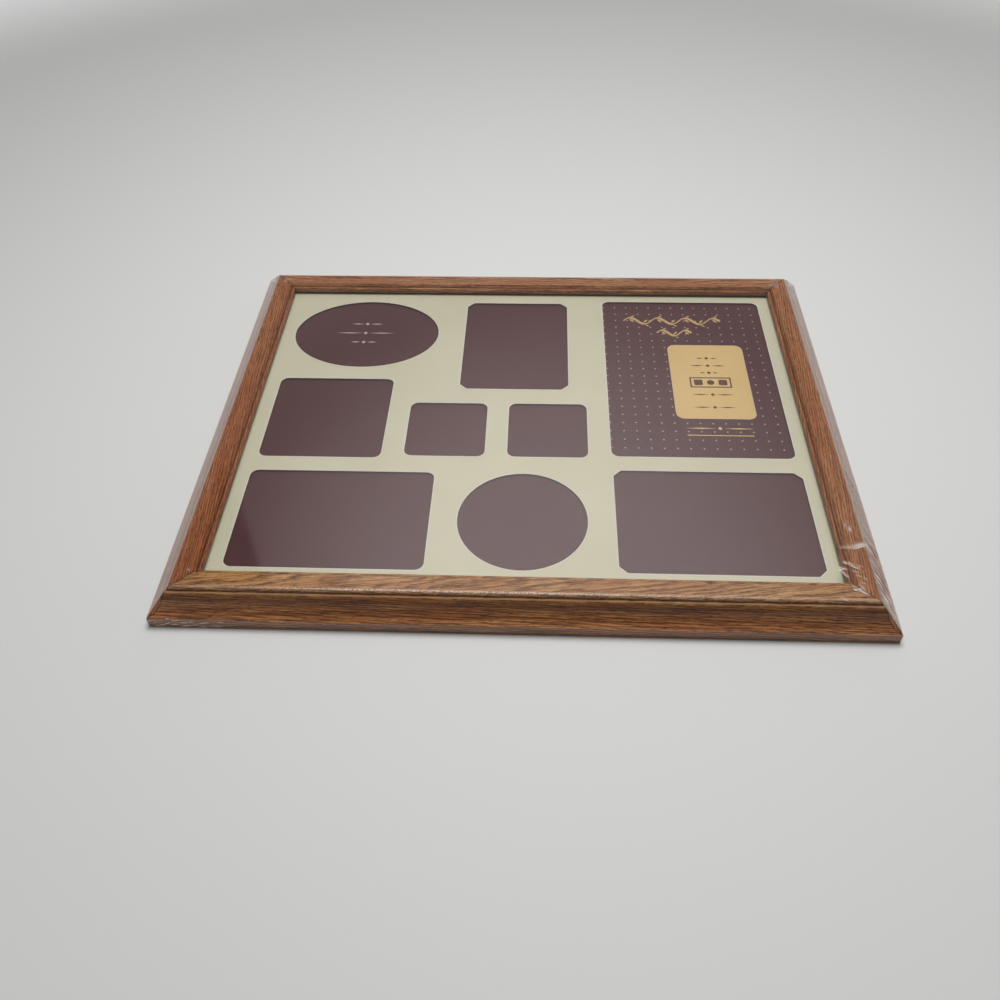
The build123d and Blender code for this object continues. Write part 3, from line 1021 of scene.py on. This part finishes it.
def corner_folds(dice, corner, side, reach, height):
    """Creases gathered toward a corner, slanting across one side of the sheet."""
    folds = []
    along = CORNER_START
    while along < reach:
        fade = 1 - GATHER_FADE * along / reach
        top = (dice.uniform(*GATHER_TOPS), along)
        foot = (dice.uniform(*GATHER_FEET), max(along - GATHER_SLANT, 0))
        ends = []
        for out, back in (top, foot):
            if side == "x":
                ends.append((corner[0] * (CROWN_X + out), corner[1] * (CROWN_Y - back)))
            else:
                ends.append((corner[0] * (CROWN_X - back), corner[1] * (CROWN_Y + out)))
        lift = dice.choice((-1, 1)) * height * fade * dice.uniform(*GATHER_LIFTS)
        width = dice.uniform(*GATHER_WIDTHS)
        folds.append((*ends, width, lift, dice.uniform(*GATHER_MILKS) * fade))
        along += dice.uniform(*GATHER_STEPS)
    return folds


def small_folds(dice, centre, spread, count):
    """Short creases lying every way round a place."""
    folds = []
    for _ in range(count):
        x = centre[0] + dice.gauss(0, spread)
        y = centre[1] + dice.gauss(0, spread)
        turn, half = dice.uniform(*SMALL_TURNS), dice.uniform(*SMALL_HALVES)
        step = (half * math.cos(turn), half * math.sin(turn))
        ends = ((x - step[0], y - step[1]), (x + step[0], y + step[1]))
        width, depth = dice.uniform(*SMALL_WIDTHS), dice.uniform(*SMALL_DEPTHS)
        folds.append((*ends, width, -depth, dice.uniform(*SMALL_MILKS)))
    return folds


def crease(u, v, folds):
    """Height and milkiness that the folds give at points of the flat sheet."""
    height, milk = np.zeros_like(u), np.zeros_like(u)
    for (u0, v0), (u1, v1), width, lift, haze in folds:
        du, dv = u1 - u0, v1 - v0
        share = ((u - u0) * du + (v - v0) * dv) / (du * du + dv * dv)
        near = np.clip(share, 0, 1)
        gap = np.hypot(u - u0 - near * du, v - v0 - near * dv)
        ridge = np.exp(-(gap / width) ** 2) * np.sin(np.pi * np.clip(share, *CREASE_ENDS)) ** 0.5
        height += lift * ridge
        milk += haze * ridge
    return height, milk


def crumple(dice, u, v):
    """Rough waves of the film bunched on the front edge at one corner."""
    waves = np.zeros_like(u)
    for _ in range(CRUMPLE_WAVES):
        turn, pitch = dice.uniform(*CRUMPLE_TURNS), dice.uniform(*CRUMPLE_PITCHES)
        phase = (u * math.sin(turn) + v * math.cos(turn)) * 2 * math.pi / pitch
        waves += np.sin(phase + dice.uniform(0, 2 * math.pi)) / CRUMPLE_WAVES ** 0.5
    run = v * CRUMPLE_CORNER[1] - CROWN_Y
    back = CROWN_X - u * CRUMPLE_CORNER[0]
    band = np.clip((run - CRUMPLE_FROM) / CRUMPLE_EASE, 0, 1)
    return waves * band * np.clip(1 - back / CRUMPLE_REACH, 0, 1) ** CRUMPLE_FADE


def draw_lines(u, v):
    """How strongly the film is drawn into lines at points of the flat sheet."""
    drawn = np.zeros_like(u)
    for (sx, sy), reach, strength in DRAWN_LINES:
        back = CROWN_Y - sy * v
        share = np.clip(DRAWN_START - back / reach, 0, 1) * (back < reach)
        out = sx * u - CROWN_X - np.maximum(-back, 0)
        drawn = np.maximum(drawn, strength * share * np.clip((out - DRAWN_FROM) / DRAWN_EASE, 0, 1))
    return drawn


def bead_highlight_band(u, v):
    """How strongly a highlight is painted along the bead in front."""
    across = (-v - CROWN_Y - HIGHLIGHT_OUT) / HIGHLIGHT_WIDTH
    return np.interp(u, HIGHLIGHT_PLACES, HIGHLIGHT_SHARES) * np.exp(-across ** 2)


dice = random.Random(CREASE_SEED)
folds = list(PLACED_FOLDS)
for gather in GATHERS:
    folds += corner_folds(dice, *gather)
for place in SMALL_FOLDS:
    folds += small_folds(dice, *place)

stations_u = film_stations(CROWN_X, FAR_STEP, FINE_STEP)
stations_v = film_stations(CROWN_Y, FINE_STEP, FAR_STEP)
grid_u, grid_v = np.meshgrid(stations_u, stations_v, indexing="ij")
film_points = film_surface(grid_u, grid_v)
runs = np.maximum(np.abs(grid_u) - CROWN_X, np.abs(grid_v) - CROWN_Y)
height, milk = crease(grid_u, grid_v, folds)
rough = crumple(dice, grid_u, grid_v)
height += CRUMPLE_HEIGHT * rough
milk += CRUMPLE_MILK * np.clip(rough - CRUMPLE_CRESTS, 0, 1)
room_out, room_in = np.interp(runs, ROOM_RUNS, ROOM_OUT), np.interp(runs, ROOM_RUNS, ROOM_IN)
room = np.where(height > 0, room_out, room_in)
height = room * np.tanh(height / room)
normals = np.cross(np.gradient(film_points, axis=0), np.gradient(film_points, axis=1))
normals /= np.linalg.norm(normals, axis=-1, keepdims=True)
film_points = film_points + normals * height[..., None]
rows, columns = grid_u.shape
ids = np.arange(rows * columns).reshape(rows, columns)
film_faces = np.stack([ids[:-1, :-1], ids[1:, :-1], ids[1:, 1:], ids[:-1, 1:]], axis=-1)
film_material = clear("film", faces=2, tint=FILM_TINT, mirror_colour=FILM_MIRROR,
    mirror_roughness=0.06, haze=0.006, fold_haze=0.7, ripple=FILM_RIPPLE)
film = add_piece("shrink_film", film_points.reshape(-1, 3).tolist(),
    film_faces.reshape(-1, 4).tolist(), film_material, smooth=True)
for name, values in (
    ("fold", np.clip(milk, 0, 1)),
    ("ripple", np.interp(runs, RIPPLE_RUNS, RIPPLE_SHARES)),
    ("drawn", draw_lines(grid_u, grid_v)),
    # painted highlight along the front bead
    ("painted_highlight", bead_highlight_band(grid_u, grid_v)),
):
    film.data.attributes.new(name, "FLOAT", "POINT").data.foreach_set("value", values.ravel())
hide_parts(*(f"film_{side}" for side in SIDES))

# Floor, in metres: pale, and fading into the backdrop well away from the frame

FLOOR_HALF = 6.0
FLOOR_COLOUR = srgb(226, 226, 224)
FLOOR_FADE_RANGE = (0.78, 1.12)
BACKDROP_LEVEL = 0.66

floor_mesh = bpy.data.meshes.new("floor")
floor_mesh.from_pydata(
    [(sx * FLOOR_HALF, sy * FLOOR_HALF, 0) for sx, sy in CORNERS], [], [(0, 1, 2, 3)])
floor = bpy.data.objects.new("floor", floor_mesh)
bpy.context.scene.collection.objects.link(floor)
floor_material, tree = start_material("floor")
near_floor = add_node(tree, "BsdfPrincipled", {
    "Base Color": FLOOR_COLOUR,
    "Roughness": 0.35,
    "Specular IOR Level": 0.3,
})
far_floor = add_node(tree, "Emission", {"Strength": BACKDROP_LEVEL})
here = add_node(tree, "TexCoord").outputs["Object"]
away = add_node(tree, "VectorMath", {0: here}, operation="LENGTH").outputs["Value"]
from_camera, mirrored = ray_kinds(tree)
fade = maths(tree, "MULTIPLY",
    between(tree, away, *FLOOR_FADE_RANGE), maths(tree, "MAXIMUM", from_camera, mirrored))
whole_floor = add_node(tree, "MixShader",
    {0: fade, 1: near_floor.outputs[0], 2: far_floor.outputs[0]})
add_node(tree, "OutputMaterial", {"Surface": whole_floor.outputs[0]})
floor_mesh.materials.append(floor_material)

# World: the room's light, and the backdrop that the camera sees in its place

# light from the room by the sine of its rise, and how much of it comes from the front
ROOM_LEVELS = (
    (0.0, 0.60),
    (0.3, 0.50),
    (0.5, 0.20),
    (0.78, 0.22),
    (0.86, 0.60),
    (1.0, 1.00),
)
FRONT_RANGE = (-0.5, 0.3, 0.22, 1.0)
# a glow high on the wall behind, by the cosine from its middle
GLOW_FROM = (0.02, 0.57, 0.82)
GLOW_RANGE = (0.925, 1.0, 0.0, 0.82)
# a dark doorway behind the frame, between two headings to the left of its far side, with a
# sharp edge and a soft one, and the share of the light that is left in it
DOOR_HEADINGS = (25.0, 75.0)
DOOR_SHARP_RANGE = (-0.004, 0.004, 1.0, 0.0)
DOOR_SOFT_RANGE = (-0.05, 0.05)
DOOR_SHARE = 0.15
# up to this sine of the rise mirrors and clear pieces show the backdrop, above it the room
BACKDROP_TOP_RANGE = (0.3, 0.5, 1.0, 0.0)

world = bpy.data.worlds.new("studio")
world.use_nodes = True
bpy.context.scene.world = world
tree = world.node_tree
tree.nodes.clear()
direction = add_node(tree, "TexCoord").outputs["Generated"]
aside, behind, rise = split(tree, direction)
level = ROOM_LEVELS[0][1]
for (low, before), (high, after) in zip(ROOM_LEVELS[:-1], ROOM_LEVELS[1:]):
    step = between(tree, rise, low, high, 0.0, after - before)
    level = maths(tree, "ADD", step, level)
level = maths(tree, "MULTIPLY", level, between(tree, behind, *FRONT_RANGE))
toward = add_node(tree, "VectorMath", {0: direction, 1: GLOW_FROM}, operation="DOT_PRODUCT")
level = maths(tree, "ADD", level, between(tree, toward.outputs["Value"], *GLOW_RANGE))
right_of, left_of = (
    maths(tree, "ADD",
        maths(tree, "MULTIPLY", aside, math.cos(math.radians(heading))),
        maths(tree, "MULTIPLY", behind, math.sin(math.radians(heading))))
    for heading in DOOR_HEADINGS)
door = maths(tree, "MULTIPLY",
    between(tree, right_of, *DOOR_SHARP_RANGE), between(tree, left_of, *DOOR_SOFT_RANGE))
level = maths(tree, "MULTIPLY", level, maths(tree, "MULTIPLY_ADD", door, DOOR_SHARE - 1, 1.0))
from_camera, mirrored = ray_kinds(tree)
mirrored = maths(tree, "MULTIPLY", mirrored, between(tree, rise, *BACKDROP_TOP_RANGE))
seen = maths(tree, "MAXIMUM", from_camera, mirrored)
level = maths(tree, "ADD",
    maths(tree, "MULTIPLY", level, maths(tree, "SUBTRACT", 1.0, seen)),
    maths(tree, "MULTIPLY", BACKDROP_LEVEL, seen))
backdrop = add_node(tree, "Background", {"Color": (1, 1, 1, 1), "Strength": level})
add_node(tree, "OutputWorld", {"Surface": backdrop.outputs[0]})

# Key lamp, in metres, aimed at the middle of the frame

KEY_PLACE = (0.03, 0.10, 0.90)
KEY_SIZE = 0.5
KEY_WATTS = 5.7

key = bpy.data.objects.new("key", bpy.data.lights.new("key", "AREA"))
key.data.shape = "SQUARE"
key.data.size = KEY_SIZE
key.data.energy = KEY_WATTS
key.location = KEY_PLACE
key.rotation_euler = Vector(KEY_PLACE).to_track_quat("Z", "Y").to_euler()
# the glass lies flat, and from above it would show nothing but the lamp
key.visible_glossy = False
bpy.context.scene.collection.objects.link(key)

# Camera

camera = bpy.data.objects.new("camera", bpy.data.cameras.new("camera"))
camera.data.sensor_width = SENSOR
camera.data.lens = FOCAL_PIXELS / IMAGE_SIDE * SENSOR
camera.data.clip_start = CAMERA_NEAR
camera.location = Vector(CAMERA_PLACE) * MM
tilt = Euler((math.radians(90 - CAMERA_DOWN), 0, math.radians(CAMERA_HEADING))).to_matrix()
camera.rotation_euler = (tilt @ Matrix.Rotation(math.radians(CAMERA_ROLL), 3, "Z")).to_euler()
bpy.context.scene.collection.objects.link(camera)
bpy.context.scene.camera = camera
bpy.context.scene.view_settings.view_transform = "Standard"
